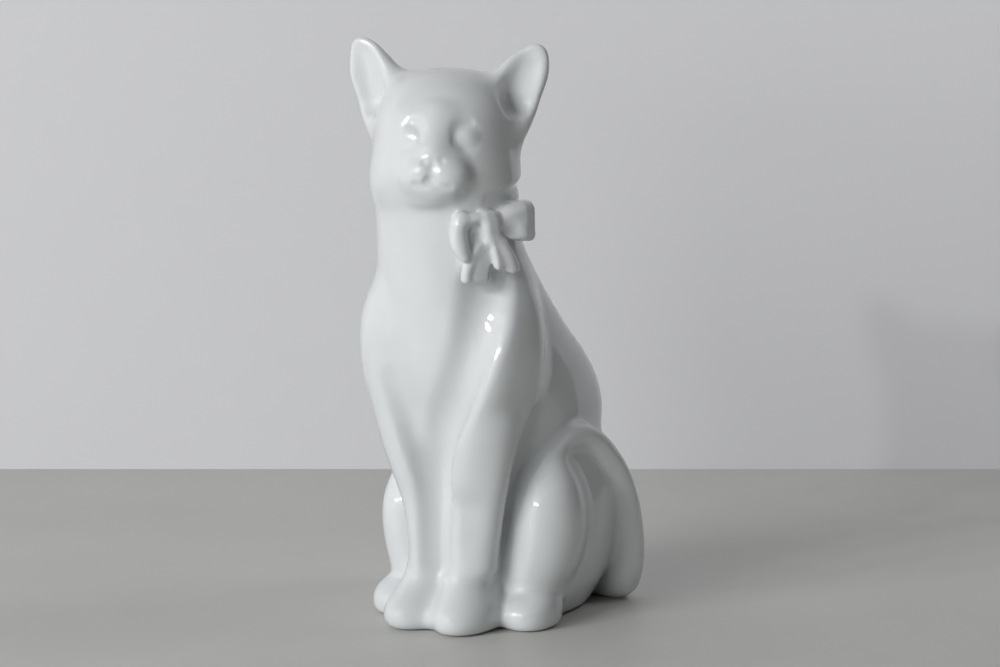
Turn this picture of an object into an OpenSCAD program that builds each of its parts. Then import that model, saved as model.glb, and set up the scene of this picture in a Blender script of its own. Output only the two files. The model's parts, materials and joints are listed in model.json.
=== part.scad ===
// Seated cat figurine, slip-cast in sections and luted together under one glaze.
// Millimetres. +Z is up, the cat faces -Y and its left side is +X.
// The origin is at the centre of the footprint, on the surface it stands on.

/* [Figure] */
// Height of the figurine over its ear tips
figure_h = 250; // [160:5:320]
// Angle that the head is turned towards the cat's left
head_turn = 18; // [0:1:30]
// Where the bow sits round the neck, from the front towards the cat's left
bow_place = 60; // [40:1:75]

/* [Casting] */
// Thickness of the fired wall
wall = 4; // [3:0.5:5]
// Thickness of the plate that closes the underside
plate_t = 5; // [4:0.5:8]
// Diameter of the firing vent in the underside
vent_d = 9; // [5:0.5:14]

/* [Hidden] */

design_h = 249.2;            // height that the sections below are drawn at
size = figure_h / design_h;
middle = [-3, -1, 0];        // brings the middle of the footprint to the origin
glaze = "whitesmoke";
bisque = "linen";

neck = [0, -28.5, 0];        // the head turns about the upright line through here
seam_z = 177;                // where the head casting meets the body casting
margin = 1;                  // how far a cutting shape passes the surface it cuts
far = 200;                   // longer than anything it cuts

plate_centre = [0, 20, 0];
plate_half = [25, 30];       // half width and half depth of the closing plate
plate_sides = 48;

// Body sections: height, centre y, half width, reach forward, reach back,
// squareness in front, squareness behind
body_rows = [
    [  0, 20, 31,   34, 40,  2.0, 2.2],
    [ 10, 20, 33.5, 37, 43,  2.0, 2.4],
    [ 28, 20, 35,   39, 45.5, 2.0, 2.6],
    [ 50, 19, 35.5, 40, 47.5, 2.0, 2.7],
    [ 68, 16, 35.5, 43, 50,  2.0, 2.8],
    [ 84, 10, 37.2, 45.8, 57.5, 2.1, 3.2],
    [ 98,  4, 37.0, 46.8, 60.5, 2.2, 3.2],
    [112, -4, 35.4, 43, 58.5, 2.2, 3.1],
    [126, -12, 33.6, 37.2, 51, 2.1, 2.8],
    [140, -18, 33.2, 32.8, 43, 2.0, 2.4],
    [153, -23, 32.6, 29.5, 35.6, 2.0, 2.1],
    [165, -26.5, 31, 28, 30, 2.0, 2.0],
    [seam_z, -28.5, 30, 28, 28,  2.0, 2.0]
];

// Head sections about the neck line: the same columns and the share of the turn
head_rows = [
    [seam_z, 0, 30, 28,   28, 2.0, 2.0, 0.0],
    [182, 0, 31,   30.5, 28, 2.0, 2.0, 0.5],
    [188, 0, 31.8, 32.5, 28.5, 2.1, 2.0, 0.9],
    [196, 0, 31.4, 33.5, 30, 2.1, 2.0, 1.0],
    [206, 0, 29.6, 32.5, 30.8, 2.1, 2.0, 1.0],
    [215, 0, 29,   30.3, 29.8, 2.1, 2.0, 1.0],
    [224, 0, 26.5, 25.6, 25.8, 2.1, 2.0, 1.0],
    [230.6, 0, 20.5, 18.6, 19, 2.0, 2.0, 1.0],
    [234, 0, 12.5, 11,  11.5, 2.0, 2.0, 1.0],
    [235.2, 0, 3,  3,   3,   2.0, 2.0, 1.0]
];

// Foreleg and shoulder of the left side: height, x, y, half width, forward, back
foreleg_rows = [
    [  0, 12,  -32, 11, 16,  15],
    [  2, 12,  -32, 12.6, 18, 17],
    [  6, 12.2, -32, 13.4, 19.2,  17.5],
    [ 10, 12.1, -31.2, 12.8, 18, 16.5],
    [ 14, 11.6, -29.6, 11.4, 16, 15.5],
    [ 19, 10.6, -27.2, 9.8, 13.9,  14.5],
    [ 26, 9.6, -25.6, 9, 13, 14.5],
    [ 34, 9.2, -24.8, 9.1, 13.8, 15],
    [ 44, 9.6, -24.2, 9.8, 15.2, 16],
    [ 54, 11,  -23, 11.2, 16.5, 17],
    [ 65, 13,  -22, 13.3, 20,   18],
    [ 78, 15.8, -21.5, 16, 22.5, 19],
    [ 92, 18.8, -21, 17.6, 24,  19],
    [104, 20.8, -21.5, 18.8, 25.5, 19],
    [118, 21.7, -22, 19.6, 26,  19],
    [130, 21.7, -22, 19.2, 26,  17.5],
    [141, 21,  -21.5, 17.4, 23.5, 15],
    [151, 20,  -21.5, 13.5, 18,   12],
    [159, 19,  -22, 7,    10,   7]
];

haunch_rows = [
    [  0, 24,  16, 10.5, 28, 30],
    [  5, 25.5, 15.5, 12, 30, 33],
    [ 12, 27.6, 15, 13.2, 32, 36.5],
    [ 24, 30.2, 14.5, 14.2, 34, 40],
    [ 36, 32,  15, 14.4, 36, 41],
    [ 48, 32.8, 17, 14.2, 37, 39],
    [ 58, 32,  19.5, 13.6, 35, 35],
    [ 68, 30.8, 22,  12, 30,   30],
    [ 77, 29, 25.5, 9.8, 24,   23],
    [ 84, 27.5, 28.5, 7,  16,  15],
    [ 88, 26.5, 30, 3,   7,    7]
];

hind_foot_rows = [
    [ 0,   32, -12,  9.8,  13.4,  13],
    [ 2,   32, -12,  11.4, 15,  15],
    [ 6,   32, -12,  12, 15.8, 16],
    [10.5, 32, -11.2, 11.4, 14.6, 17],
    [14.6, 31.5, -8.5, 9,   11,  16],
    [17.4, 31, -6,  4,    6,   8]
];

// Tail, from the root behind the haunch: x, y, z, radius
tail_rows = [
    [12, 61, 6.5, 7.8],
    [26, 60.5, 6.5, 7.8],
    [35, 58.5, 6.5, 7.8],
    [40.5, 55.8, 9, 7.7],
    [44, 53.3, 15, 7.4],
    [45.6, 51.6, 23, 7.2],
    [46, 50, 33, 7],
    [45.8, 47, 45, 6.8],
    [45.2, 41, 57, 6.6],
    [43.5, 34, 66.5, 6.4],
    [41.6, 26.4, 74, 6.1],
    [39.6, 18.4, 78.2, 5.8],
    [38, 10.4, 78.6, 5.5],
    [36.6, 2.5, 75.6, 5.1],
    [35.8, -3.5, 70.6, 4.7],
    [35.4, -6.3, 67.7, 3.7],
    [35.2, -7.7, 65.9, 1.2]
];

ear_base = [20.3, 1.5, 210.5];
ear_tip = [39.6, -2.5, 246.8];
tilt_z = 225;                // height of the line that the ears lean about
head_tilt = 2.5;             // the head leans this much to its left
ear_twist = 12;              // each ear opens this much away from the front
dish_up = 5;                 // the dish starts this far up the ear
dish_wide = 0.72;            // size of the dish as a share of the ear's own
dish_deep = 0.9;
dish_forward = 0.95;
// Distance up the ear, half width, half thickness
ear_rows = [
    [ 0, 13,   9],
    [ 8, 12.6, 8],
    [16, 11.6, 6.8],
    [24, 9.8,  5.4],
    [32, 7.4,  4],
    [37.5, 4.6, 2.8],
    [41, 1.8,  1.2]
];

face_x = 3;                  // the face sits this far to the left of the neck line
// Muzzle pads, chin and nose, about the neck line: place, radius, stretch
muzzle_balls = [
    [[face_x - 5.5, -30.5, 192], 7, [1.1, 1, 0.9]],
    [[face_x + 5.5, -30.5, 192], 7, [1.1, 1, 0.9]],
    [[face_x, -30, 185], 5, [1.2, 1, 0.8]],
    [[face_x, -31, 201], 6, [0.8, 0.8, 1.5]]
];

crown_z = 220;               // above this the head's cavity is closed lower down
crown_drop = 0.6;            // by this share of the wall
least_ring = 6;              // the cavity ends where the head is less wide than this

// ---- helper functions --------------------------------------------------------

// Catmull-Rom curve through four rows of numbers
function between(p, q, r, s, t) =
    0.5 * (2*q + (r - p)*t + (2*p - 5*q + 4*r - s)*t*t + (3*q - p - 3*r + s)*t*t*t);
function smooth_rows(rows, steps) = let(last = len(rows) - 1) concat(
    [for (i = [0 : last - 1]) for (k = [0 : steps - 1])
        between(rows[max(i - 1, 0)], rows[i], rows[i + 1], rows[min(i + 2, last)], k / steps)],
    [rows[last]]);
function bent(v, e) = sign(v) * pow(abs(v), e);
function spin(p, a) = [p.x*cos(a) - p.y*sin(a), p.x*sin(a) + p.y*cos(a), p.z];

// One upright section: an oval that may be squarer and longer in front or behind
function oval(z, x, y, half_w, front, back, sq_front, sq_back, sides) = [
    for (i = [0 : sides - 1])
        let(a = 360 * (i + 0.5) / sides,
            e = 2 / (sin(a) < 0 ? sq_front : sq_back),
            reach = sin(a) < 0 ? front : back)
        [x + half_w * bent(cos(a), e), y + reach * bent(sin(a), e), z]];

// Skin through rings of the same length, closed flat at both ends
module skin(rings) {
    n = len(rings[0]);
    m = len(rings);
    polyhedron(
        points = [for (r = rings) for (p = r) p],
        faces = concat(
            [[for (i = [0 : n - 1]) i]],
            [for (j = [0 : m - 2]) for (i = [0 : n - 1]) let(k = (i + 1) % n)
                each [[j*n + i, (j + 1)*n + i, (j + 1)*n + k],
                      [j*n + i, (j + 1)*n + k, j*n + k]]],
            [[for (i = [n - 1 : -1 : 0]) (m - 1)*n + i]]),
        convexity = 8);
}

// Keeps cut skins together as one mesh
module cut_skin() resize([0, 0, 0]) children();

module fired(c) color(c) scale(size) translate(middle) children();

// ---- solid shapes that the castings are cut from ------------------------------

function body_rings(steps, sides, inset) = [
    for (r = smooth_rows(body_rows, steps))
        oval(r[0], 0, r[1], r[2] - inset, r[3] - inset, r[4] - inset, r[5], r[6], sides)];

module body_solid() skin(body_rings(3, 48, 0));

module head_solid() {
    skin([for (r = smooth_rows(head_rows, 3))
        [for (p = oval(r[0], 0, r[1], r[2], r[3], r[4], r[5], r[6], 48))
            spin(p, head_turn * r[7]) + neck]]);
    in_head() muzzle();
}

module in_head() translate(neck) rotate([0, 0, head_turn]) children();
module tilted() translate([0, 0, tilt_z])
    rotate([0, head_tilt, 0])
    translate([0, 0, -tilt_z]) children();

module muzzle() for (ball = muzzle_balls)
    translate(ball[0]) scale(ball[2]) sphere(r = ball[1], $fn = 18);

module limb(rows, sides, steps, squareness) skin([for (r = smooth_rows(rows, steps))
    oval(r[0], r[1], r[2], r[3], r[4], r[5], squareness, squareness, sides)]);

module foreleg_solid() intersection() {
    limb(foreleg_rows, 32, 2, 2);
    translate([0, -far / 2, -margin]) cube(far);
}
module haunch_solid() limb(haunch_rows, 32, 2, 2.3);
module hind_foot_solid() limb(hind_foot_rows, 28, 2, 2.2);

module ear_solid() {
    along = ear_tip - ear_base;
    lean = atan2(along.x, along.z);
    translate(ear_base) rotate([0, lean, 0]) rotate([0, 0, ear_twist]) difference() {
        skin([for (r = smooth_rows(ear_rows, 2)) oval(r[0], 0, 0, r[1], r[2], r[2], 2, 2, 24)]);
        skin([for (r = smooth_rows(ear_rows, 2))
            oval(r[0] + dish_up, 0, -r[2] * dish_forward, r[1] * dish_wide,
                 r[2] * dish_deep, r[2] * dish_deep, 2, 2, 20)]);
    }
}

function unit(v) = v / norm(v);
module tail_solid() {
    rows = smooth_rows(tail_rows, 2);
    m = len(rows) - 1;
    sides = 16;
    skin([for (j = [0 : m])
        let(here = [rows[j][0], rows[j][1], rows[j][2]],
            before = rows[max(j - 1, 0)],
            after = rows[min(j + 1, m)],
            along = unit([after[0] - before[0], after[1] - before[1], after[2] - before[2]]),
            out = unit(cross(along, [1, -1, -1])),
            up = cross(along, out))
        [for (i = [0 : sides - 1]) let(a = 360 * i / sides)
            here + rows[j][3] * (cos(a) * out + sin(a) * up)]]);
}

// ---- bow, laid on the neck: s runs round it, h up, d outward -------------------

bow_z = 169;
bow_r = 30;                  // of the neck under the bow
bow_arc = 36;                // radius at which distances round the neck are true
flare = 0.32;                // how fast the shoulders come out below the bow
ribbon_sides = 16;
corner = 0.8;                // a ribbon's section is this much less round than an oval
function on_neck(s, h, d) = let(
    a = bow_place + s * 180 / (PI * bow_arc),
    r = bow_r + d + max(0, -h) * flare)
    [r * sin(a), neck.y + 1 - r * cos(a), bow_z + h];

// A ribbon fold from rows of: place round the neck, height, half height, thickness
module fold(rows, steps) skin([for (r = smooth_rows(rows, steps))
    [for (i = [0 : ribbon_sides - 1]) let(a = 360 * i / ribbon_sides)
        on_neck(r[0], r[1] + r[2] * bent(cos(a), corner),
                1 + r[3] * (bent(sin(a), corner) + 0.2))]]);

front_loop_rows = [[-17, -3.2, 3, 1.5], [-15.6, -3, 8.6, 4.8], [-11, -2.8, 9.4, 5.4],
                   [-6, -1, 7.4, 4.4], [-2, 1, 5, 4]];
rear_loop_rows = [[4, 3, 4.6, 4.4], [10, 4, 6.4, 5.8], [15.5, 4.3, 8, 7.6], [21, 4.4, 8.2, 8.6],
                  [23.8, 4.4, 4, 4.6]];
knot_rows = [[-3.8, 2, 3.5, 3], [-2.6, 2, 6.6, 5.4], [0.6, 2, 7.6, 6.2], [3.8, 2, 6.6, 5.4],
             [5, 2, 3.5, 3]];

// A hanging end from rows of: height, place round the neck, half width, thickness
module hanging(rows, steps) skin([for (r = smooth_rows(rows, steps))
    [for (i = [0 : ribbon_sides - 1]) let(a = -360 * i / ribbon_sides)
        on_neck(r[1] - r[2] * bent(cos(a), corner), r[0], r[3] * bent(sin(a), corner))]]);

rear_streamer_rows = [[-3, 2.5, 3.5, 4.6], [-7, 5.5, 4.4, 4.4], [-11, 8.2, 5.2, 4],
                      [-14.6, 10, 5.8, 3.4]];
front_streamer_rows = [[-3, 0.5, 3.5, 4], [-8, -1.6, 4.6, 3.6], [-14, -3.6, 6, 3.2],
                       [-19.6, -5, 7.4, 2.6]];

// ---- castings -----------------------------------------------------------------

module torso_shell() fired(glaze) cut_skin() difference() {
    body_solid();
    cavity();
    plate_outline(plate_t, margin);
}

module cavity() difference() {
    skin(body_rings(1, 24, wall));
    translate([-far / 2, -far / 2, -margin]) cube([far, far, plate_t + margin]);
}

module plate_outline(top, below) translate(plate_centre - [0, 0, below])
    linear_extrude(top + below)
        polygon([for (i = [0 : plate_sides - 1]) let(a = 360 * i / plate_sides)
            [plate_half.x * cos(a), plate_half.y * sin(a)]]);

module base_plate() fired(bisque) difference() {
    plate_outline(plate_t, 0);
    translate(plate_centre - [0, 0, margin])
        cylinder(d = vent_d, h = plate_t + 2 * margin, $fn = plate_sides);
}

module head_shell() fired(glaze) cut_skin() difference() {
    head_solid();
    skin([for (r = head_rows)
        if (r[2] > wall + least_ring)
            [for (p = oval(r[0] - (r[0] > crown_z ? wall * crown_drop : 0), 0, r[1], r[2] - wall,
                           r[3] - wall, r[4] - wall, r[5], r[6], 24))
                spin(p, head_turn * r[7]) + neck]]);
}

module ear(side) fired(glaze) cut_skin() difference() {
    in_head() tilted() mirror([side < 0 ? 1 : 0, 0, 0]) ear_solid();
    head_solid();
}
module ear_left() ear(1);
module ear_right() ear(-1);

module on_side(side) mirror([side < 0 ? 1 : 0, 0, 0]) children();

module foreleg(side) fired(glaze) cut_skin() difference() {
    on_side(side) foreleg_solid();
    body_solid();
}
module foreleg_left() foreleg(1);
module foreleg_right() foreleg(-1);

module haunch(side) fired(glaze) cut_skin() difference() {
    on_side(side) haunch_solid();
    body_solid();
    on_side(side) foreleg_solid();
    tail_solid();
}
module haunch_left() haunch(1);
module haunch_right() haunch(-1);

module hind_foot(side) fired(glaze) cut_skin() difference() {
    on_side(side) hind_foot_solid();
    body_solid();
    on_side(side) foreleg_solid();
    on_side(side) haunch_solid();
}
module hind_foot_left() hind_foot(1);
module hind_foot_right() hind_foot(-1);

module tail() fired(glaze) cut_skin() difference() {
    tail_solid();
    body_solid();
    translate([-far / 2, -far / 2, -far]) cube(far);
}

module neck_and_head() {
    body_solid();
    head_solid();
}

module bow_knot() fired(glaze) cut_skin() difference() {
    fold(knot_rows, 2);
    neck_and_head();
}

module bow_loop(rows) fired(glaze) cut_skin() difference() {
    fold(rows, 2);
    neck_and_head();
    fold(knot_rows, 2);
}
module bow_loop_front() bow_loop(front_loop_rows);
module bow_loop_rear() bow_loop(rear_loop_rows);

module bow_streamer_rear() fired(glaze) cut_skin() difference() {
    hanging(rear_streamer_rows, 2);
    neck_and_head();
    fold(knot_rows, 2);
    fold(front_loop_rows, 2);
    fold(rear_loop_rows, 2);
}

module bow_streamer_front() fired(glaze) cut_skin() difference() {
    hanging(front_streamer_rows, 2);
    neck_and_head();
    fold(knot_rows, 2);
    fold(front_loop_rows, 2);
    fold(rear_loop_rows, 2);
    hanging(rear_streamer_rows, 2);
}

torso_shell();
head_shell();
ear_left();
ear_right();
foreleg_left();
foreleg_right();
haunch_left();
haunch_right();
hind_foot_left();
hind_foot_right();
tail();
bow_knot();
bow_loop_front();
bow_loop_rear();
bow_streamer_front();
bow_streamer_rear();
base_plate();
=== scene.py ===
import json
import math

import bpy
import numpy as np
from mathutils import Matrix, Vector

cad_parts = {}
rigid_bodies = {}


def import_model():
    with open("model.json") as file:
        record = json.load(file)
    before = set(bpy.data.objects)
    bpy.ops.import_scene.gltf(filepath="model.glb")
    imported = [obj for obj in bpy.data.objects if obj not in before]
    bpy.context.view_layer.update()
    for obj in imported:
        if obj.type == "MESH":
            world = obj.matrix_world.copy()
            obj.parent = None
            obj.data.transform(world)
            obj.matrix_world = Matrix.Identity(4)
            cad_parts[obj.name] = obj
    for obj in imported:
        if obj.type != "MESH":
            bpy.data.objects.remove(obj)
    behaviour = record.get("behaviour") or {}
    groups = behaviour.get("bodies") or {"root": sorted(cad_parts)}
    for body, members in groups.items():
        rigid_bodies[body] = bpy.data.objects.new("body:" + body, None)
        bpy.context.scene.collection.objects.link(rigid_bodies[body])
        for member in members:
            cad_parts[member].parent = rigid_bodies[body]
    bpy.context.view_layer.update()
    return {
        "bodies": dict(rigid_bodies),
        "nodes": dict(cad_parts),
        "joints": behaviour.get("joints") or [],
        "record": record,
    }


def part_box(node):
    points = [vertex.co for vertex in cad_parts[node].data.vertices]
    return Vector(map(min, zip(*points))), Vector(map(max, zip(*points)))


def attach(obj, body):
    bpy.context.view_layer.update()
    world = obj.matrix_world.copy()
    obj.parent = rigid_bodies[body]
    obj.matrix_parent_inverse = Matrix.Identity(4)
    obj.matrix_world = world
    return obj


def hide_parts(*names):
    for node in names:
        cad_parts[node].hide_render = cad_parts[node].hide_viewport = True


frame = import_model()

import openvdb as vdb
from mathutils import Vector

MM = 1000.0                    # the work below is done in millimetres
VOXEL = 1.2                    # pitch of the distance fields
BAND = 9.6                     # reach of the distance fields on either side of a skin
DOMAIN_LOW = np.array([-64.0, -84.0, -16.0])
DOMAIN_HIGH = np.array([64.0, 84.0, 264.0])


# ---- distance fields ---------------------------------------------------------------

class Field:
    """Signed distances on a regular grid, read between the grid points without kinks."""

    def __init__(self, values, first):
        self.values = values
        self.first = np.asarray(first)

    def at(self, points):
        g = points / VOXEL - self.first
        g = np.clip(g, 1.0, np.array(self.values.shape) - 2.001)
        nearest = np.floor(g + 0.5).astype(np.int64)
        t = (g - nearest).astype(np.float32)
        weights = (0.5 * (0.5 - t) ** 2, 0.75 - t * t, 0.5 * (0.5 + t) ** 2)
        _, ny, nz = self.values.shape
        flat = self.values.reshape(-1)
        base = (nearest[:, 0] * ny + nearest[:, 1]) * nz + nearest[:, 2]
        total = np.zeros(len(points), np.float32)
        for dx in (-1, 0, 1):
            for dy in (-1, 0, 1):
                wxy = weights[dx + 1][:, 0] * weights[dy + 1][:, 1]
                for dz in (-1, 0, 1):
                    total += wxy * weights[dz + 1][:, 2] * flat[base + (dx * ny + dy) * nz + dz]
        return total


def cad_mesh(name):
    mesh = frame["nodes"][name].data
    mesh.calc_loop_triangles()
    points = np.empty(len(mesh.vertices) * 3, np.float32)
    mesh.vertices.foreach_get("co", points)
    faces = np.empty(len(mesh.loop_triangles) * 3, np.int32)
    mesh.loop_triangles.foreach_get("vertices", faces)
    return points.reshape(-1, 3) * MM, faces.reshape(-1, 3).astype(np.uint32)


def level_set(points, faces, low, high):
    """The distance field of a closed skin, over the box from low to high."""
    first = np.floor(low / VOXEL).astype(int)
    last = np.ceil(high / VOXEL).astype(int)
    grid = vdb.FloatGrid.createLevelSetFromPolygons(
        points.astype(np.float32), triangles=faces.astype(np.uint32),
        transform=vdb.createLinearTransform(voxelSize=VOXEL), halfWidth=BAND / VOXEL)
    values = np.empty(tuple(last - first + 1), np.float32)
    grid.copyToArray(values, ijk=tuple(int(v) for v in first))
    return Field(values, first)


def part_field(name, margin=12.0):
    points, faces = cad_mesh(name)
    low = np.maximum(points.min(0) - margin, DOMAIN_LOW)
    high = np.minimum(points.max(0) + margin, DOMAIN_HIGH)
    return level_set(points, faces, low, high)


def blur(values, sigma_mm):
    """Gaussian blur along each axis in turn."""
    sigma = sigma_mm / VOXEL
    reach = int(math.ceil(3 * sigma))
    offsets = np.arange(-reach, reach + 1)
    weights = np.exp(-0.5 * (offsets / sigma) ** 2)
    weights = (weights / weights.sum()).astype(np.float32)
    for axis in range(3):
        pad = [(0, 0)] * 3
        pad[axis] = (reach, reach)
        wide = np.pad(values, pad, mode="edge")
        total = np.zeros_like(values)
        for k, w in enumerate(weights):
            part = [slice(None)] * 3
            part[axis] = slice(k, k + values.shape[axis])
            total += w * wide[tuple(part)]
        values = total
    return values


def soft_min(a, b, reach):
    """The lower of two fields, run into each other where they are less than reach apart."""
    reach = np.maximum(reach, 1e-3)
    h = np.maximum(reach - np.abs(a - b), 0.0) / reach
    return np.minimum(a, b) - h * h * reach * 0.25


def soft_max(a, b, reach):
    return -soft_min(-a, -b, reach)


def crossing(a, b):
    """0 where two fields run the same way, 1 where they face each other squarely."""
    ga, gb = np.gradient(a), np.gradient(b)
    dot = sum(p * q for p, q in zip(ga, gb))
    size = np.sqrt(sum(p * p for p in ga) * sum(q * q for q in gb)) + 1e-6
    return np.sqrt(np.clip(1 - dot / size, 0, 1))


def extract(field):
    grid = vdb.FloatGrid(BAND)
    grid.copyFromArray(np.ascontiguousarray(field.values), ijk=tuple(int(v) for v in field.first))
    grid.transform = vdb.createLinearTransform(voxelSize=VOXEL)
    points, triangles, quads = grid.convertToPolygons(isovalue=0.0, adaptivity=0.0)
    points = np.asarray(points, np.float64)
    quads = np.asarray(quads, np.int64)
    faces = [np.asarray(triangles, np.int64).reshape(-1, 3)]
    if len(quads):
        one = np.linalg.norm(points[quads[:, 0]] - points[quads[:, 2]], axis=1)
        two = np.linalg.norm(points[quads[:, 1]] - points[quads[:, 3]], axis=1)
        short = (one <= two)[:, None]
        faces.append(np.where(short, quads[:, [0, 1, 2]], quads[:, [0, 1, 3]]))
        faces.append(np.where(short, quads[:, [0, 2, 3]], quads[:, [1, 2, 3]]))
    return points, np.concatenate(faces)


def outward(points, faces):
    """Faces wound so that the enclosed volume is positive."""
    a, b, c = (points[faces[:, k]] for k in range(3))
    volume = np.einsum("ij,ij->i", a, np.cross(b, c)).sum()
    return faces if volume > 0 else faces[:, ::-1].copy()


def solid_core():
    """Body, neck and head as one outer skin, with the casting's hollow filled in."""
    first = np.floor(DOMAIN_LOW / VOXEL).astype(int)
    values = None
    for name in ("torso_shell", "head_shell", "base_plate"):
        points, faces = cad_mesh(name)
        field = level_set(points, faces, DOMAIN_LOW, DOMAIN_HIGH)
        values = field.values if values is None else np.minimum(values, field.values)
    solid = values < 0
    before = np.maximum.accumulate(solid, axis=0)
    after = np.maximum.accumulate(solid[::-1], axis=0)[::-1]
    hollow = before & after & ~solid
    values = np.where(hollow, -BAND, values)
    points, faces = extract(Field(values, first))
    faces = outward(points, faces)
    return level_set(points, faces, DOMAIN_LOW, DOMAIN_HIGH)


# Each part that is melted on to the body: reach of the blend, growth that gives back
# what the blur takes, and whether its detail is kept by the finer blur
BLENDED = [
    ("foreleg_left", 8.0, 0.1, False), ("foreleg_right", 8.0, 0.1, False),
    ("haunch_left", 7.0, 0.1, False), ("haunch_right", 7.0, 0.1, False),
    ("hind_foot_left", 4.0, 0.1, True), ("hind_foot_right", 4.0, 0.1, True),
    ("tail", 3.0, 0.3, True), ("ear_left", 7.0, 0.9, False), ("ear_right", 7.0, 0.9, False),
]
BOW = ["bow_knot", "bow_loop_front", "bow_loop_rear", "bow_streamer_front", "bow_streamer_rear"]
FINE_BLUR = 1.35
COARSE_BLUR = 2.2
TIP_GROWTH = 0.9      # makes up for what the blur takes off the crown and the ear tips


def ramp(value, low, high):
    """0 below low, 1 above high and an even curve between them."""
    t = np.clip((value - low) / (high - low), 0.0, 1.0)
    return t * t * (3 - 2 * t)


def body_field(fields):
    core = solid_core()
    values = core.values.copy()
    detail = np.full(values.shape, BAND, np.float32)
    for name, reach, growth, fine in BLENDED:
        part = fields[name]
        place = tuple(slice(int(a), int(a) + n)
                      for a, n in zip(part.first - core.first, part.values.shape))
        here = values[place]
        grown = part.values - growth
        facing = blur(crossing(blur(here, 1.2), blur(grown, 1.2)), 2.5)
        values[place] = soft_min(here, grown, reach * facing)
        if fine:
            detail[place] = np.minimum(detail[place], part.values)
    share = ramp(detail, 2.0, 8.0)
    values = (1 - share) * blur(values, FINE_BLUR) + share * blur(values, COARSE_BLUR)
    height = (np.arange(values.shape[2]) + core.first[2]) * VOXEL
    values -= TIP_GROWTH * ramp(height, 222.0, 234.0).astype(np.float32)
    values = soft_max(values, np.broadcast_to(-height.astype(np.float32), values.shape), 0.8)
    return Field(values, core.first), core


# ---- the skin ----------------------------------------------------------------------

def edge_list(faces):
    e = np.concatenate([faces[:, [0, 1]], faces[:, [1, 2]], faces[:, [2, 0]]])
    return np.unique(np.sort(e, axis=1), axis=0)


def neighbour_mean(points, edges, count):
    total = np.empty_like(points)
    for k in range(3):
        total[:, k] = (np.bincount(edges[:, 0], points[edges[:, 1], k], len(points))
                       + np.bincount(edges[:, 1], points[edges[:, 0], k], len(points)))
    return total / count[:, None]


def gradient(shape, points, step=0.35):
    out = np.empty_like(points)
    for k in range(3):
        shift = np.zeros(3)
        shift[k] = step
        out[:, k] = (shape(points + shift) - shape(points - shift)) / (2 * step)
    return out


def settle(shape, points, rounds):
    """Moves points on to the surface where shape is zero."""
    for _ in range(rounds):
        value = shape(points)
        slope = gradient(shape, points)
        size = np.maximum((slope ** 2).sum(1), 0.15)
        move = -(value / size)[:, None] * slope
        length = np.linalg.norm(move, axis=1, keepdims=True)
        points = points + move * np.minimum(1.0, 0.8 / np.maximum(length, 1e-9))
    return points


def relax(shape, points, faces, rounds):
    edges = edge_list(faces)
    count = np.bincount(edges.ravel(), minlength=len(points)).astype(float)
    for _ in range(rounds):
        mean = neighbour_mean(points, edges, count)
        slope = gradient(shape, points)
        slope /= np.linalg.norm(slope, axis=1, keepdims=True) + 1e-9
        move = mean - points
        move -= (move * slope).sum(1, keepdims=True) * slope
        points = settle(shape, points + 0.6 * move, 1)
    return points


def vertex_normals(points, faces):
    a, b, c = (points[faces[:, k]] for k in range(3))
    n = np.cross(b - a, c - a)
    out = np.zeros_like(points)
    for corner in range(3):
        for k in range(3):
            out[:, k] += np.bincount(faces[:, corner], n[:, k], len(points))
    return out / (np.linalg.norm(out, axis=1, keepdims=True) + 1e-12)


# ---- simple bodies, as distances in millimetres ----------------------------------------

def ellipsoid(points, centre, radii):
    q = (points - centre) / radii
    near = np.linalg.norm(q, axis=1)
    slope = np.linalg.norm(q / radii, axis=1)
    return near * (near - 1) / np.maximum(slope, 1e-6)


def rope(points, path, radii):
    """A rounded rod through the points of a path, with a radius at each of them."""
    out = np.full(len(points), 1e3)
    for a, b, ra, rb in zip(path[:-1], path[1:], radii[:-1], radii[1:]):
        a, b = np.asarray(a, float), np.asarray(b, float)
        along = b - a
        t = np.clip((points - a) @ along / (along @ along), 0, 1)
        gap = np.linalg.norm(points - a - t[:, None] * along, axis=1)
        out = np.minimum(out, gap - (ra + (rb - ra) * t))
    return out


def curve(path, steps=6):
    """Points along a smooth curve through the given ones."""
    path = np.asarray(path, float)
    last = len(path) - 1
    out = []
    for i in range(last):
        p, q, r, s = path[max(i - 1, 0)], path[i], path[i + 1], path[min(i + 2, last)]
        for t in np.arange(steps) / steps:
            out.append(0.5 * (2 * q + (r - p) * t + (2 * p - 5 * q + 4 * r - s) * t * t
                              + (3 * q - p - 3 * r + s) * t ** 3))
    return np.array(out + [path[-1]])


def band(points, along, across, out, rows, rounding):
    """A ribbon: at each place along it, the middle and half size across it and outward."""
    t = points[:, along]
    table = np.asarray(rows, float)
    mid, half, level, thick = (np.interp(t, table[:, 0], table[:, k]) for k in (1, 2, 3, 4))
    u = np.abs(points[:, across] - mid) - (half - rounding)
    v = np.abs(points[:, out] - level) - (thick - rounding)
    past = np.hypot(np.maximum(u, 0), np.maximum(v, 0))
    side = past + np.minimum(np.maximum(u, v), 0) - rounding
    ends = np.abs(t - 0.5 * (table[0, 0] + table[-1, 0])) - 0.5 * abs(table[-1, 0] - table[0, 0])
    return soft_max(side, ends, 2.5)


# ---- layers of detail --------------------------------------------------------------------

DRAWN_HEIGHT = 249.2                            # height that the details are drawn at
SCALE = max(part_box(ear)[1].z for ear in ("ear_left", "ear_right")) * MM / DRAWN_HEIGHT
HEAD_TURN = math.radians(18.0)


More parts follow.
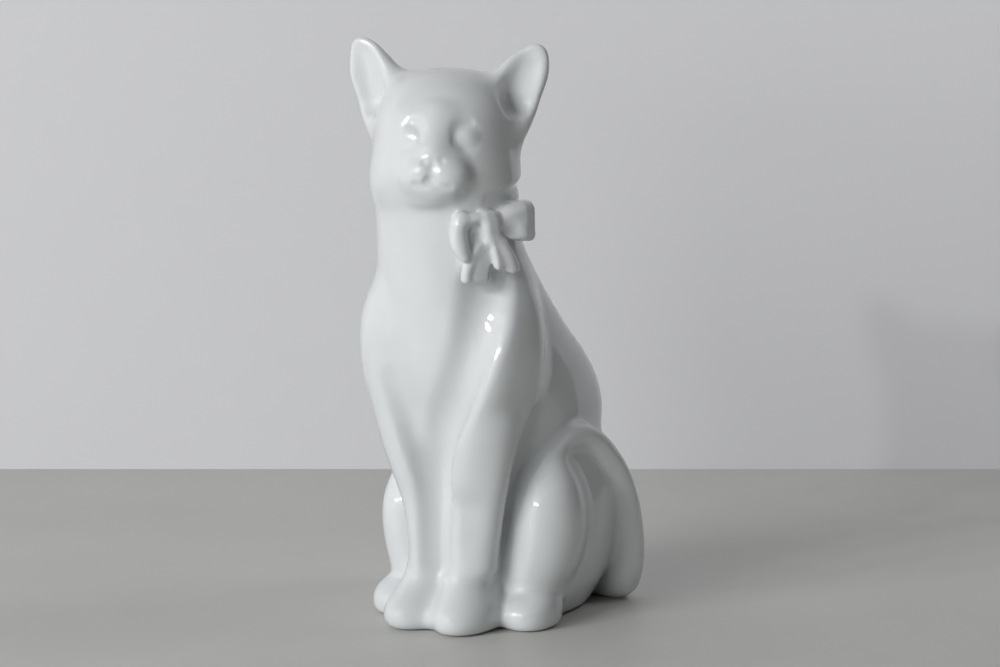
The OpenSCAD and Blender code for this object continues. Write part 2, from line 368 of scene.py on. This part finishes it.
class Turned:
    """A frame about the neck line: x to the cat's left, y backward, z up from the floor."""

    def __init__(self, turn, axis):
        self.axis = np.array([axis[0], axis[1], 0.0])
        c, s = math.cos(turn), math.sin(turn)
        self.turn = np.array([[c, s, 0], [-s, c, 0], [0, 0, 1]])

    def inside(self, points):
        return (points - self.axis) @ self.turn.T / SCALE

    def outside(self, points):
        return np.asarray(points) * SCALE @ self.turn + self.axis


def fade(*inside, width=5.0):
    """One well inside every given margin (mm), running to nothing at their edges."""
    t = np.clip(np.minimum.reduce(inside) / width, 0, 1)
    return t * t * (3 - 2 * t)


class Layer:
    """Soft additions and carvings laid on the bare skin, inside a faded region."""

    def __init__(self, body, frame):
        self.frame = frame
        self.body = body
        self.steps = []

    def skin(self, x, z, lift=0.0):
        """The point of the bare skin in front at x and z, lifted along its normal."""
        y = np.arange(-60.0, 20.0, 0.25)
        line = np.stack([np.full_like(y, x), y, np.full_like(y, z)], 1)
        inside = self.body.at(self.frame.outside(line)) < 0
        p = line[np.argmax(inside)]
        step = np.eye(3) * 1.5
        value = self.body.at(self.frame.outside(np.concatenate([p + step, p - step])))
        normal = value[:3] - value[3:]
        return p + lift * normal / np.linalg.norm(normal)

    def add(self, reach, shape, *rest):
        self.steps.append((1, reach, shape, rest))

    def carve(self, reach, shape, *rest):
        self.steps.append((-1, reach, shape, rest))

    def line(self, places, lift):
        lifts = np.broadcast_to(lift, len(places))
        return curve([self.skin(x, z, up) for (x, z), up in zip(places, lifts)])

    def near(self, points):
        return self.weight(self.frame.inside(points)) > 0

    def apply(self, points, value):
        p = self.frame.inside(points)
        worked = value
        for sign, reach, shape, rest in self.steps:
            other = shape(p, *rest)
            worked = (soft_min(worked, other, reach) if sign > 0
                      else soft_max(worked, -other, reach))
        return value + (worked - value) * self.weight(p)


class Chest(Layer):
    """The breast and the forelegs: their valleys, the near leg's ridge and shin, and the
    wedge of breast that runs down between the legs."""

    def __init__(self, body):
        super().__init__(body, Turned(0.0, (0.0, 0.0)))
        crook = curve([(35, -14, 90), (31.5, -18.5, 76), (28.5, -22, 63), (26, -23.5, 46),
                       (25, -26, 30)])
        self.carve(8.0, rope, crook, np.interp(np.linspace(0, 4, len(crook)), range(5),
                                               [2.5, 4.0, 5.5, 5.5, 3.5]))
        ridge = self.line([(31, 130), (29.5, 117), (25.5, 101), (20.5, 83), (17.0, 64)],
                          [-10.6, -8.4, -6.8, -6.2, -6.0])
        self.add(9.0, rope, ridge, np.linspace(6.4, 6.8, len(ridge)))
        wedge = curve([(-9.5, -33.5, 102), (-8.6, -34, 90), (-8.2, -33.8, 78), (-10.4, -33.4, 64),
                       (-9.8, -34, 47), (-9, -34.5, 28)])
        self.add(5.0, rope, wedge, np.linspace(6.0, 4.8, len(wedge)))
        shin = curve([(24.5, -33.5, 88), (21.0, -32, 66), (16.4, -29.3, 47), (13, -29.0, 28)])
        self.add(8.0, rope, shin, np.full(len(shin), 6.4))
        far_side = [(-19.5, 106), (-15.0, 93), (-11.0, 81), (-7.6, 71)]
        path = self.line(far_side, [7.5, 6.0, 5.0, 5.2])
        self.carve(5.0, rope, path, np.full(len(path), 6.5))
        near_side = [(24.0, 149), (24.0, 134), (19.5, 117), (12.0, 100), (3.8, 82), (0.2, 64),
                     (0.2, 46), (0.4, 30)]
        path = self.line(near_side, [6.6, 5.6, 4.4, 3.8, 3.5, 3.5, 4.6, 5.6])
        self.carve(5.5, rope, path, np.interp(np.linspace(0, 7, len(path)), range(8),
                                              [11.5, 12.3, 10.4, 8.8, 7.8, 7.0, 6.4, 6.0]))

    def weight(self, p):
        return fade(p[:, 0] + 34, 52 - p[:, 0], -4 - p[:, 1], p[:, 2] - 16, 162 - p[:, 2],
                    width=10.0)


class Thigh(Layer):
    """The near thigh, fuller and flatter than the cast one."""

    def __init__(self, body):
        super().__init__(body, Turned(0.0, (0.0, 0.0)))
        self.add(8.0, ellipsoid, np.array([34.0, -5.0, 45.0]), np.array([13.4, 15.2, 26.0]))

    def weight(self, p):
        return fade(p[:, 0] - 16, 30 - p[:, 1], p[:, 2] - 5, 84 - p[:, 2], width=8.0)


class Ears(Layer):
    """Deeper, softer dishes than the carving alone gives."""

    def __init__(self, body, neck):
        super().__init__(body, Turned(HEAD_TURN, neck))
        for places, lifts in (([(-37.0, 240), (-35.2, 232), (-32.2, 223)], [4.6, 4.0, 3.0]),
                              ([(29.0, 222.5), (31.4, 231), (34.0, 239)], [3.4, 4.2, 4.6])):
            middle = self.line(places, lifts)
            self.carve(5.5, rope, middle, np.full(len(middle), 5.6))

    def weight(self, p):
        return fade(np.abs(p[:, 0]) - 18, 8 - p[:, 1], p[:, 2] - 210, width=8.0)


class Face(Layer):
    """Eyes, nose, muzzle and jaw, laid on the front of the head."""

    def __init__(self, body, neck):
        super().__init__(body, Turned(HEAD_TURN, neck))
        for x, side in ((16.0, 1), (-8.0, -1)):
            self.eye(x, 208.8, side)
        self.nose(3.2)

    def eye(self, x, z, side):
        socket = self.skin(x - side * 1.4, z + 0.4, 3.2)
        self.carve(5.0, ellipsoid, socket, np.array([6.4, 3.4, 6.0]))
        self.add(2.6, ellipsoid, self.skin(x - side * 0.2, z - 0.6, -4.8),
                 np.array([5.6, 5.2, 4.9]))
        corner = [(-5.6, -3.4), (-5.2, 0.0), (-3.4, 3.2), (0.2, 4.8)]
        crease = self.line([(x + side * dx, z + dz) for dx, dz in corner], 1.1)
        self.carve(3.0, rope, crease, np.linspace(0.9, 0.3, len(crease)))

    def nose(self, x):
        self.add(6.0, ellipsoid, self.skin(x - 1.8, 193.0, -9.6), np.array([12.8, 8.6, 11.8]))
        bridge = self.line([(x + 0.4, 217), (x + 0.2, 209), (x, 202)], -5.4)
        self.add(8.0, rope, bridge, np.linspace(4.6, 4.9, len(bridge)))
        for pad_x, pad_z in ((x + 5.6, 193.4), (x - 6.2, 194.2)):
            self.add(6.0, ellipsoid, self.skin(pad_x, pad_z, -5.3), np.array([7.0, 5.8, 6.2]))
        self.add(2.6, ellipsoid, self.skin(x, 198.9, -0.9), np.array([3.3, 2.6, 2.5]))
        for side in (-1, 1):
            nostril = self.skin(x + side * 3.2, 197.4, 3.5)
            self.carve(2.0, ellipsoid, nostril, np.full(3, 0.8))
        split = self.line([(x, 196.8), (x - 0.2, 194), (x - 0.6, 190.6)], 3.6)
        self.carve(3.6, rope, split, np.full(len(split), 0.6))
        for places in (((x - 0.6, 190.6), (x + 3.0, 188.9), (x + 6.2, 188.8)),
                       ((x - 0.6, 190.6), (x - 3.6, 189.3), (x - 6.6, 189.6))):
            mouth = self.line(places, 3.2)
            self.carve(3.2, rope, mouth, np.linspace(0.8, 0.4, len(mouth)))
        self.add(4.0, ellipsoid, self.skin(x - 1.6, 186.4, -3.2), np.array([5.2, 3.6, 3.4]))

    def weight(self, p):
        return fade(29 - np.abs(p[:, 0] - 3), -10 - p[:, 1], p[:, 2] - 176, 226 - p[:, 2])

    def fine(self, points):
        """The eyes, nose and mouth, which take the smallest faces."""
        p = self.frame.inside(points)
        return ((np.abs(p[:, 0] - 3.5) < 20) & (p[:, 1] < -18) & (p[:, 2] > 184)
                & (p[:, 2] < 216))


# ---- the bow -----------------------------------------------------------------------------

BOW_PLACE = math.radians(60.0)      # round the neck from the front
BOW_RADIUS = 30.0                   # of the neck under the bow
ARC = 36.0                          # radius at which distances round the neck are true
FLARE = 0.32                        # how fast the shoulders come out below the bow


class Bow:
    """Laid on the neck: s runs round it to the cat's left, h up and d outward."""

    def __init__(self, neck):
        self.axis = np.array([neck[0], neck[1] + 1.0 * SCALE])
        self.height = 169.0 * SCALE

    def laid(self, points):
        x = (points[:, 0] - self.axis[0]) / SCALE
        y = (points[:, 1] - self.axis[1]) / SCALE
        h = (points[:, 2] - self.height) / SCALE
        s = (np.arctan2(x, -y) - BOW_PLACE) * ARC
        d = np.hypot(x, y) - BOW_RADIUS - np.maximum(0, -h) * FLARE
        return np.stack([s, h, d], 1)

    def weight(self, q):
        return fade(q[:, 0] + 28, 46 - q[:, 0], q[:, 1] + 31, 25 - q[:, 1], q[:, 2] + 12,
                    20 - q[:, 2], width=3.0)

    def near(self, points):
        return self.weight(self.laid(points)) > 0

    def pieces(self, points):
        q = self.laid(points)
        knot = band(q, 1, 0, 2, [(-5, 2.7, 4.2, 2.6, 2.8), (1, 2.0, 4.4, 3.2, 3.4),
                                 (5, 1.3, 4.4, 3.2, 3.4), (9.3, 0.9, 3.9, 2.6, 2.8)], 3.0)
        roll = rope(q, curve([(-11.5, 5.2, 2.0), (-13.2, 0, 2.2), (-12.6, -5, 2.1),
                              (-10.9, -9.0, 1.6)]), np.interp(np.arange(19), [0, 6, 12, 18],
                                                                [3.3, 4.1, 3.9, 2.8]))
        strip = rope(q, curve([(-12.5, 5.6, 2.0), (-8, 5.6, 2.6), (-2, 6.2, 3.2)]),
                     np.linspace(2.6, 2.3, 13))
        front = soft_min(roll, strip, 2.0)
        back = band(q, 0, 1, 2, [(-12, -2, 8, 0.2, 1.4), (0, -1.5, 6, 0.2, 1.4)], 1.0)
        front = soft_min(front, back, 1.5)
        rear = band(q, 0, 1, 2, [(2, 3.6, 4.6, 2.4, 2.6), (7, 3.8, 5.2, 2.6, 3.2),
                                 (11.2, 4.0, 7.0, 3.4, 4.4), (16.2, 4.4, 8.3, 4.8, 5.2),
                                 (20.8, 4.3, 8.5, 5.6, 5.4), (23.6, 4.2, 7.4, 4.8, 4.0)], 4.4)
        pleat = rope(q, curve([(6.5, 4.9, 6.8), (10.5, 4.6, 8.8), (15.0, 4.4, 11.9)]),
                     np.linspace(1.2, 0.8, 13))
        rear = soft_max(rear, -pleat, 2.2)
        hollow = ellipsoid(q, np.array([8.8, 0.2, 9.6]), np.array([4.6, 3.8, 4.0]))
        rear = soft_max(rear, -hollow, 2.6)
        rear_end = band(q, 1, 0, 2, [(-15.2, 7.4, 6.0, 2.6, 2.0), (-11, 6.6, 5.0, 2.8, 2.2),
                                     (-6, 5.2, 4.2, 3.0, 2.4), (-1, 3.6, 3.4, 3.0, 2.4)], 1.5)
        ridge = rope(q, curve([(6.4, -4, 3.6), (8.8, -10, 3.6), (9.8, -14, 3.0)]),
                     np.linspace(2.4, 2.6, 13))
        rear_end = soft_min(rear_end, ridge, 2.4)
        front_end = band(q, 1, 0, 2, [(-20.5, -5.0, 7.0, -4.4, 1.9), (-16, -4.6, 6.8, -3.0, 1.9),
                                      (-10, -3.4, 6.2, 0.2, 1.9), (-4, -0.6, 4.4, 1.4, 2.2)], 2.6)
        ridge = rope(q, curve([(-7.6, -10, -0.4), (-9.2, -14.5, -1.8), (-9.6, -18.0, -3.2)]),
                     np.linspace(2.0, 1.8, 13))
        front_end = soft_min(front_end, ridge, 2.0)
        dip = ellipsoid(q, np.array([-2.4, -11.5, 5.2]), np.array([4.0, 6.5, 3.2]))
        front_end = soft_max(front_end, -dip, 1.6)
        recess = ellipsoid(q, np.array([-5.0, -2.2, 5.4]), np.array([3.9, 6.6, 4.6]))
        front = soft_max(front, -recess, 1.2)
        return {"bow_knot": knot, "bow_loop_front": front, "bow_loop_rear": rear,
                "bow_streamer_rear": rear_end, "bow_streamer_front": front_end}

    def whole(self, points):
        """All of the bow but the front streamer, which melts into the breast."""
        parts = self.pieces(points)
        value = soft_min(parts["bow_loop_front"], parts["bow_loop_rear"], 1.2)
        value = soft_min(value, parts["bow_streamer_rear"], 1.2)
        return soft_min(value, parts["bow_knot"], 1.6), parts["bow_streamer_front"]

    def fine(self, points):
        proud, low = self.whole(points)
        return np.abs(np.minimum(proud, low)) < 0.8

    def apply(self, points, value):
        q = self.laid(points)
        jaw = rope(q, curve([(2, 12.5, 3.4), (12, 14.0, 2.2), (21, 15.8, 1.4), (34, 18.0, 1.2),
                             (44, 18.6, 2.6)]), np.linspace(1.4, 2.2, 25))
        worked = soft_max(value, -jaw, 3.4)
        proud, low = self.whole(points)
        worked = soft_min(soft_min(worked, low, 6.0), proud, 1.8)
        return value + (worked - value) * self.weight(q)


class Figure:
    """The whole glazed surface: zero on the skin, positive outside."""

    def __init__(self, body, layers):
        self.body = body
        self.layers = layers

    def __call__(self, points):
        value = self.body.at(points).astype(np.float64)
        for layer in self.layers:
            here = layer.near(points)
            if here.any():
                value[here] = layer.apply(points[here], value[here])
        return value

    def on_grid(self):
        """The body's grid with the layers worked in, for the first rough skin."""
        values = self.body.values.copy()
        index = np.argwhere(np.abs(values) < 8.0)
        points = (index + self.body.first) * VOXEL
        mask = np.zeros(len(points), bool)
        for layer in self.layers:
            mask |= layer.near(points)
        spots = index[mask]
        values[spots[:, 0], spots[:, 1], spots[:, 2]] = self(points[mask])
        return Field(values, self.body.first)


def split_faces(faces, middle, count):
    """Faces with new points on one or two edges, cut so that no gap opens. middle holds
    the new point on each edge, or -1, and count says how many each face has."""
    out = []
    for turn in range(3):
        roll = [(turn + i) % 3 for i in range(3)]
        f, k = faces[:, roll], middle[:, roll]
        one = (count == 1) & (k[:, 0] >= 0)
        out += [np.stack([f[one, 0], k[one, 0], f[one, 2]], 1),
                np.stack([k[one, 0], f[one, 1], f[one, 2]], 1)]
        two = (count == 2) & (k[:, 2] < 0)
        out += [np.stack([f[two, 1], k[two, 1], k[two, 0]], 1),
                np.stack([f[two, 0], k[two, 0], k[two, 1]], 1),
                np.stack([f[two, 0], k[two, 1], f[two, 2]], 1)]
    return out


def refine(points, faces, chosen):
    """Splits the chosen faces in four, and their neighbours so that no gap opens."""
    edges = np.sort(faces[:, [[0, 1], [1, 2], [2, 0]]], axis=2).reshape(-1, 2)
    key = edges[:, 0] * len(points) + edges[:, 1]
    unique, inverse = np.unique(key, return_inverse=True)
    marked = np.zeros(len(unique), bool)
    marked[inverse.reshape(-1, 3)[chosen].ravel()] = True
    number = np.full(len(unique), -1)
    number[marked] = len(points) + np.arange(marked.sum())
    pair = np.stack([unique // len(points), unique % len(points)], 1)[marked]
    new_points = np.concatenate([points, points[pair].mean(1)])
    m = number[inverse].reshape(-1, 3)
    count = (m >= 0).sum(1)
    out = [faces[count == 0]]
    f, k = faces[count == 3], m[count == 3]
    out += [np.stack([f[:, 0], k[:, 0], k[:, 2]], 1), np.stack([f[:, 1], k[:, 1], k[:, 0]], 1),
            np.stack([f[:, 2], k[:, 2], k[:, 1]], 1), k]
    out += split_faces(faces, m, count)
    return new_points, np.concatenate(out)


# ---- parting the skin into its pieces ------------------------------------------------------

SMALLEST_ISLAND = 6.0       # mm2: a smaller scrap of skin goes to the piece next to it
WALL = 3.0                  # mm: how thick the fired clay is made behind the skin


def cut(rows, faces, side):
    """Splits the faces that side changes sign across. rows holds every value at a vertex."""
    edges = np.sort(faces[:, [[0, 1], [1, 2], [2, 0]]], axis=2).reshape(-1, 2)
    key = edges[:, 0] * len(rows) + edges[:, 1]
    unique, inverse = np.unique(key, return_inverse=True)
    a, b = unique // len(rows), unique % len(rows)
    crossed = side[a] * side[b] < 0
    number = np.full(len(unique), -1)
    number[crossed] = len(rows) + np.arange(crossed.sum())
    a, b = a[crossed], b[crossed]
    t = (side[a] / (side[a] - side[b]))[:, None]
    rows = np.concatenate([rows, rows[a] * (1 - t) + rows[b] * t])
    side = np.concatenate([side, np.zeros(len(a))])
    m = number[inverse].reshape(-1, 3)
    count = (m >= 0).sum(1)
    out = [faces[count == 0]]
    out += split_faces(faces, m, count)
    return rows, np.concatenate(out), side


def islands(faces, count):
    """A number for each face, the same for faces that hang together."""
    label = np.arange(count)
    while True:
        low = label[faces].min(1)
        new = label.copy()
        for k in range(3):
            np.minimum.at(new, faces[:, k], low)
        new = new[new]
        if (new == label).all():
            return label[faces[:, 0]]
        label = new


def face_areas(points, faces):
    a, b, c = (points[faces[:, k]] for k in range(3))
    return 0.5 * np.linalg.norm(np.cross(b - a, c - a), axis=1)


def part_skin(points, normals, faces, distances, names):
    """Faces for each name: those where its own distance is the lowest."""
    rows = np.concatenate([points, normals, distances], axis=1)
    pool = faces
    parts = {}
    for k, name in enumerate(names[:-1]):
        values = rows[:, 6:]
        others = np.delete(values, range(k + 1), axis=1).min(1)
        side = values[:, k] - others
        side[np.abs(side) < 0.03] = 0.0
        rows, pool, side = cut(rows, pool, side)
        own = side[pool].sum(1) < 0
        parts[name] = pool[own]
        pool = pool[~own]
    parts[names[-1]] = pool
    for k, name in enumerate(names):
        own = parts[name]
        _, which = np.unique(islands(own, len(rows)), return_inverse=True)
        area = np.bincount(which, face_areas(rows[:, :3], own))
        for island in np.flatnonzero(area < SMALLEST_ISLAND):
            strays = own[which == island]
            spread = rows[strays.ravel(), 6:].mean(0)
            spread[k] = np.inf
            home = names[int(np.argmin(spread))]
            parts[home] = np.concatenate([parts[home], strays])
        parts[name] = np.concatenate([parts[name][:len(own)][area[which] >= SMALLEST_ISLAND],
                                      parts[name][len(own):]])
    return rows[:, :3], rows[:, 3:6], parts


def shell(name, points, normals, faces):
    """One piece's mesh: its part of the skin, the same skin further in, and walls between."""
    used, faces = np.unique(faces, return_inverse=True)
    faces = faces.reshape(-1, 3)
    points, normals = points[used], normals[used]
    depth = np.full(len(points), WALL)
    for _ in range(6):
        thin = figure(points - normals * depth[:, None]) > -0.3 * depth
        depth[thin] *= 0.6
    count = len(points)
    edges = faces[:, [[0, 1], [1, 2], [2, 0]]].reshape(-1, 2)
    key, back_key = edges[:, 0] * count + edges[:, 1], edges[:, 1] * count + edges[:, 0]
    a, b = edges[~np.isin(key, back_key)].T
    faces = np.concatenate([faces, faces[:, ::-1] + count, np.stack([b, a, a + count], 1),
                            np.stack([b, a + count, b + count], 1)])
    points = np.concatenate([points, points - normals * depth[:, None]])
    normals = np.concatenate([normals, -normals])
    mesh = bpy.data.meshes.new(name)
    mesh.from_pydata((points / MM).tolist(), [], faces.tolist())
    mesh.polygons.foreach_set("use_smooth", [True] * len(mesh.polygons))
    mesh.normals_split_custom_set_from_vertices(normals.tolist())
    mesh.update()
    piece = bpy.data.objects.new(name + "_glazed", mesh)
    bpy.context.scene.collection.objects.link(piece)
    return piece


# ---- the figure ------------------------------------------------------------------------------

NECK = np.array([-3.0, -29.5]) * SCALE
fields = {name: part_field(name) for name, *_ in BLENDED}
body, core = body_field(fields)
chest, thigh, ears = Chest(body), Thigh(body), Ears(body, NECK)
face, bow = Face(body, NECK), Bow(NECK)
figure = Figure(body, [chest, thigh, ears, face, bow])

points, faces = extract(figure.on_grid())
faces = outward(points, faces)
points = relax(figure, points, faces, 2)
near = face.near(points) | bow.near(points)
points, faces = refine(points, faces, near[faces].all(1))
points = relax(figure, points, faces, 1)
fine = (bow.near(points) & bow.fine(points)) | face.fine(points)
points, faces = refine(points, faces, fine[faces].all(1))
points = settle(figure, points, 2)
normals = vertex_normals(points, faces)

plate = part_field("base_plate")
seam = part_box("head_shell")[0].z * MM
names = [name for name, *_ in BLENDED] + BOW + ["base_plate", "head_shell", "torso_shell"]
bow_parts = bow.pieces(points)
core_distance = core.at(points)
columns = [fields[name].at(points) for name, *_ in BLENDED]
columns += [np.where(bow.near(points), bow_parts[name] * SCALE, 30.0) for name in BOW]
columns += [np.where(points[:, 2] < 0.5, plate.at(points) - 0.3, 30.0),
            core_distance + np.maximum(seam - points[:, 2], 0),
            core_distance + np.maximum(points[:, 2] - seam, 0)]
points, normals, parts = part_skin(points, normals, faces, np.stack(columns, 1), names)
pieces = {name: shell(name, points, normals, parts[name])
          for name in names if name != "base_plate"}


# ---- finishes ----------------------------------------------------------------------------------

def node(tree, kind, **values):
    made = tree.nodes.new(kind)
    for name, value in values.items():
        setattr(made, name, value)
    return made


def noise(tree, scale, detail=2.0, roughness=0.5):
    where = node(tree, "ShaderNodeTexCoord")
    made = node(tree, "ShaderNodeTexNoise")
    made.inputs["Scale"].default_value = scale
    made.inputs["Detail"].default_value = detail
    made.inputs["Roughness"].default_value = roughness
    tree.links.new(where.outputs["Object"], made.inputs["Vector"])
    return made.outputs["Fac"]


def stops(tree, factor, low, high):
    """A ramp from (place, colour) low to (place, colour) high."""
    made = node(tree, "ShaderNodeValToRGB")
    for element, (place, colour) in zip(made.color_ramp.elements, (low, high)):
        element.position = place
        element.color = (*colour, 1)
    tree.links.new(factor, made.inputs["Fac"])
    return made.outputs["Color"]


def shaded(name, roughness, specular):
    material = bpy.data.materials.new(name)
    material.use_nodes = True
    shader = material.node_tree.nodes["Principled BSDF"]
    shader.inputs["Roughness"].default_value = roughness
    shader.inputs["Specular IOR Level"].default_value = specular
    return material, material.node_tree, shader


def glazed(name):
    """White porcelain under a clear glaze: faint clouding, a soft ripple and kiln specks."""
    material, tree, shader = shaded(name, 0.42, 0.35)
    shader.inputs["Coat Weight"].default_value = 1.0
    shader.inputs["Coat Roughness"].default_value = 0.02
    shader.inputs["Coat IOR"].default_value = 1.52
    clouds = stops(tree, noise(tree, 38.0, 3.0), (0.3, (0.665, 0.69, 0.70)),
                   (0.7, (0.70, 0.725, 0.735)))
    spots = node(tree, "ShaderNodeTexVoronoi", feature="F1")
    spots.inputs["Scale"].default_value = 170.0
    spots.inputs["Randomness"].default_value = 1.0
    where = node(tree, "ShaderNodeTexCoord")
    tree.links.new(where.outputs["Object"], spots.inputs["Vector"])
    dot = stops(tree, spots.outputs["Distance"], (0.035, (1, 1, 1)), (0.06, (0, 0, 0)))
    rare = stops(tree, spots.outputs["Color"], (0.86, (0, 0, 0)), (0.9, (1, 1, 1)))
    both = node(tree, "ShaderNodeMath", operation="MULTIPLY")
    tree.links.new(dot, both.inputs[0])
    tree.links.new(rare, both.inputs[1])
    mix = node(tree, "ShaderNodeMix", data_type="RGBA")
    mix.inputs["B"].default_value = (0.30, 0.31, 0.28, 1)
    tree.links.new(both.outputs[0], mix.inputs["Factor"])
    tree.links.new(clouds, mix.inputs["A"])
    tree.links.new(mix.outputs["Result"], shader.inputs["Base Color"])
    ripple = node(tree, "ShaderNodeBump")
    ripple.inputs["Strength"].default_value = 0.12
    ripple.inputs["Distance"].default_value = 0.0006
    tree.links.new(noise(tree, 55.0, 1.5), ripple.inputs["Height"])
    tree.links.new(ripple.outputs["Normal"], shader.inputs["Coat Normal"])
    return material


def fired_clay(name):
    """Bare bisque: matt and slightly warm."""
    material, tree, shader = shaded(name, 0.85, 0.25)
    grain = noise(tree, 420.0, 5.0, 0.6)
    tree.links.new(stops(tree, grain, (0.3, (0.70, 0.67, 0.61)), (0.7, (0.82, 0.79, 0.73))),
                   shader.inputs["Base Color"])
    rough = node(tree, "ShaderNodeBump")
    rough.inputs["Strength"].default_value = 0.25
    rough.inputs["Distance"].default_value = 0.0003
    tree.links.new(grain, rough.inputs["Height"])
    tree.links.new(rough.outputs["Normal"], shader.inputs["Normal"])
    return material


body_glaze, bow_glaze = glazed("porcelain_glaze"), glazed("porcelain_glaze_bow")
bisque = fired_clay("bisque")
for name, piece in pieces.items():
    on_bow = name in BOW
    piece.data.materials.append(bow_glaze if on_bow else body_glaze)
    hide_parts(name)
    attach(piece, "root")
plate_node = frame["nodes"]["base_plate"]
plate_node.data.materials.clear()
plate_node.data.materials.append(bisque)


# ---- room, light and camera ---------------------------------------------------------------------

def plain(name, colour, roughness, speck=0.0):
    material, tree, shader = shaded(name, roughness, 0.2)
    low = tuple(c * (1 - speck) for c in colour)
    tree.links.new(stops(tree, noise(tree, 9.0, 6.0, 0.6), (0.3, low), (0.7, colour)),
                   shader.inputs["Base Color"])
    return material


def panel(name, corners, material):
    mesh = bpy.data.meshes.new(name)
    mesh.from_pydata([tuple(c) for c in corners], [], [tuple(range(len(corners)))])
    made = bpy.data.objects.new(name, mesh)
    made.data.materials.append(material)
    bpy.context.scene.collection.objects.link(made)
    return made


VIEW_TURN = math.radians(30)      # the camera stands this far to the cat's left
VIEW_RISE = math.radians(6)
VIEW_DISTANCE = 0.995
TARGET = Vector((0.01705, -0.01906, 0.1253))
back = Vector((math.sin(VIEW_TURN) * math.cos(VIEW_RISE),
               -math.cos(VIEW_TURN) * math.cos(VIEW_RISE), math.sin(VIEW_RISE)))
right = Vector((math.cos(VIEW_TURN), math.sin(VIEW_TURN), 0))
ahead = Vector((-math.sin(VIEW_TURN), math.cos(VIEW_TURN), 0))


def placed(across, away, height):
    """A point from the figure: across to the camera's right, away from the camera, up."""
    return right * across + ahead * away + Vector((0, 0, height))


camera_data = bpy.data.cameras.new("camera")
camera_data.lens = 85
camera_data.sensor_width = 36
camera_data.clip_start = 0.01
camera = bpy.data.objects.new("camera", camera_data)
camera.location = TARGET + back * VIEW_DISTANCE
camera.rotation_euler = (-back).to_track_quat("-Z", "Y").to_euler()
bpy.context.scene.collection.objects.link(camera)
bpy.context.scene.camera = camera

table = plain("table_top", (0.63, 0.63, 0.607), 0.45, 0.06)
wall = plain("wall_paint", (0.705, 0.708, 0.73), 0.9, 0.01)
FAR = 0.388                       # the table ends at the wall, this far behind the figure
WALL_END = 0.60                   # the wall ends this far to the right, in the dark
NEAR = -1.6                       # the table's near edge, behind the camera
TABLE_SIDES = (-3, 1.5)
WALL_START = -4
WALL_FOOT, WALL_TOP = -1.0, 3.0
panel("table", [placed(TABLE_SIDES[0], NEAR, 0), placed(TABLE_SIDES[1], NEAR, 0),
                placed(TABLE_SIDES[1], FAR, 0), placed(TABLE_SIDES[0], FAR, 0)], table)
panel("wall", [placed(WALL_START, FAR, WALL_FOOT), placed(WALL_END, FAR, WALL_FOOT),
               placed(WALL_END, FAR, WALL_TOP), placed(WALL_START, FAR, WALL_TOP)], wall)


def softbox(name, at, aim, wide, high, radiance, mirrored=False):
    """A rectangular light. Only a mirrored one is seen reflected in the glaze."""
    light = bpy.data.lights.new(name, "AREA")
    light.shape = "RECTANGLE"
    light.size, light.size_y = wide, high
    light.energy = radiance * math.pi * wide * high
    made = bpy.data.objects.new(name, light)
    made.location = at
    made.rotation_euler = (aim - at).to_track_quat("-Z", "Y").to_euler()
    made.visible_glossy = mirrored
    bpy.context.scene.collection.objects.link(made)


def sight(turn, rise, away):
    """A point seen from the figure at turn degrees right of the camera and rise up."""
    turn, rise = math.radians(turn), math.radians(rise)
    return placed(away * math.sin(turn) * math.cos(rise), -away * math.cos(turn) * math.cos(rise),
                  away * math.sin(rise) + 0.12)


middle_height = Vector((0, 0, 0.12))
softbox("window", sight(-82, 12, 2.8), middle_height, 3.0, 2.2, 0.6, mirrored=True)
softbox("key", sight(-34, 14, 2.6), middle_height, 1.7, 1.0, 3.7)
softbox("low_front", sight(-28, 3, 2.6), middle_height, 1.4, 0.4, 3.4)
softbox("ceiling", placed(-0.3, -0.3, 2.4), middle_height, 2.0, 2.0, 0.06)
for turn in (-57, -50, -43, -36):
    softbox("lamp_%d" % -turn, sight(turn, 19, 2.5), middle_height, 0.07, 0.09, 330,
            mirrored=True)
softbox("wall_wash", placed(0.62, 0.0, 0.75), placed(0.30, FAR, 0.15), 0.3, 0.3, 4.2)
world = bpy.data.worlds.new("room")
bpy.context.scene.world = world
world.use_nodes = True
world.node_tree.nodes["Background"].inputs["Color"].default_value = (1.0, 1.0, 0.99, 1)
world.node_tree.nodes["Background"].inputs["Strength"].default_value = 0.02
bpy.context.scene.view_settings.view_transform = "Standard"
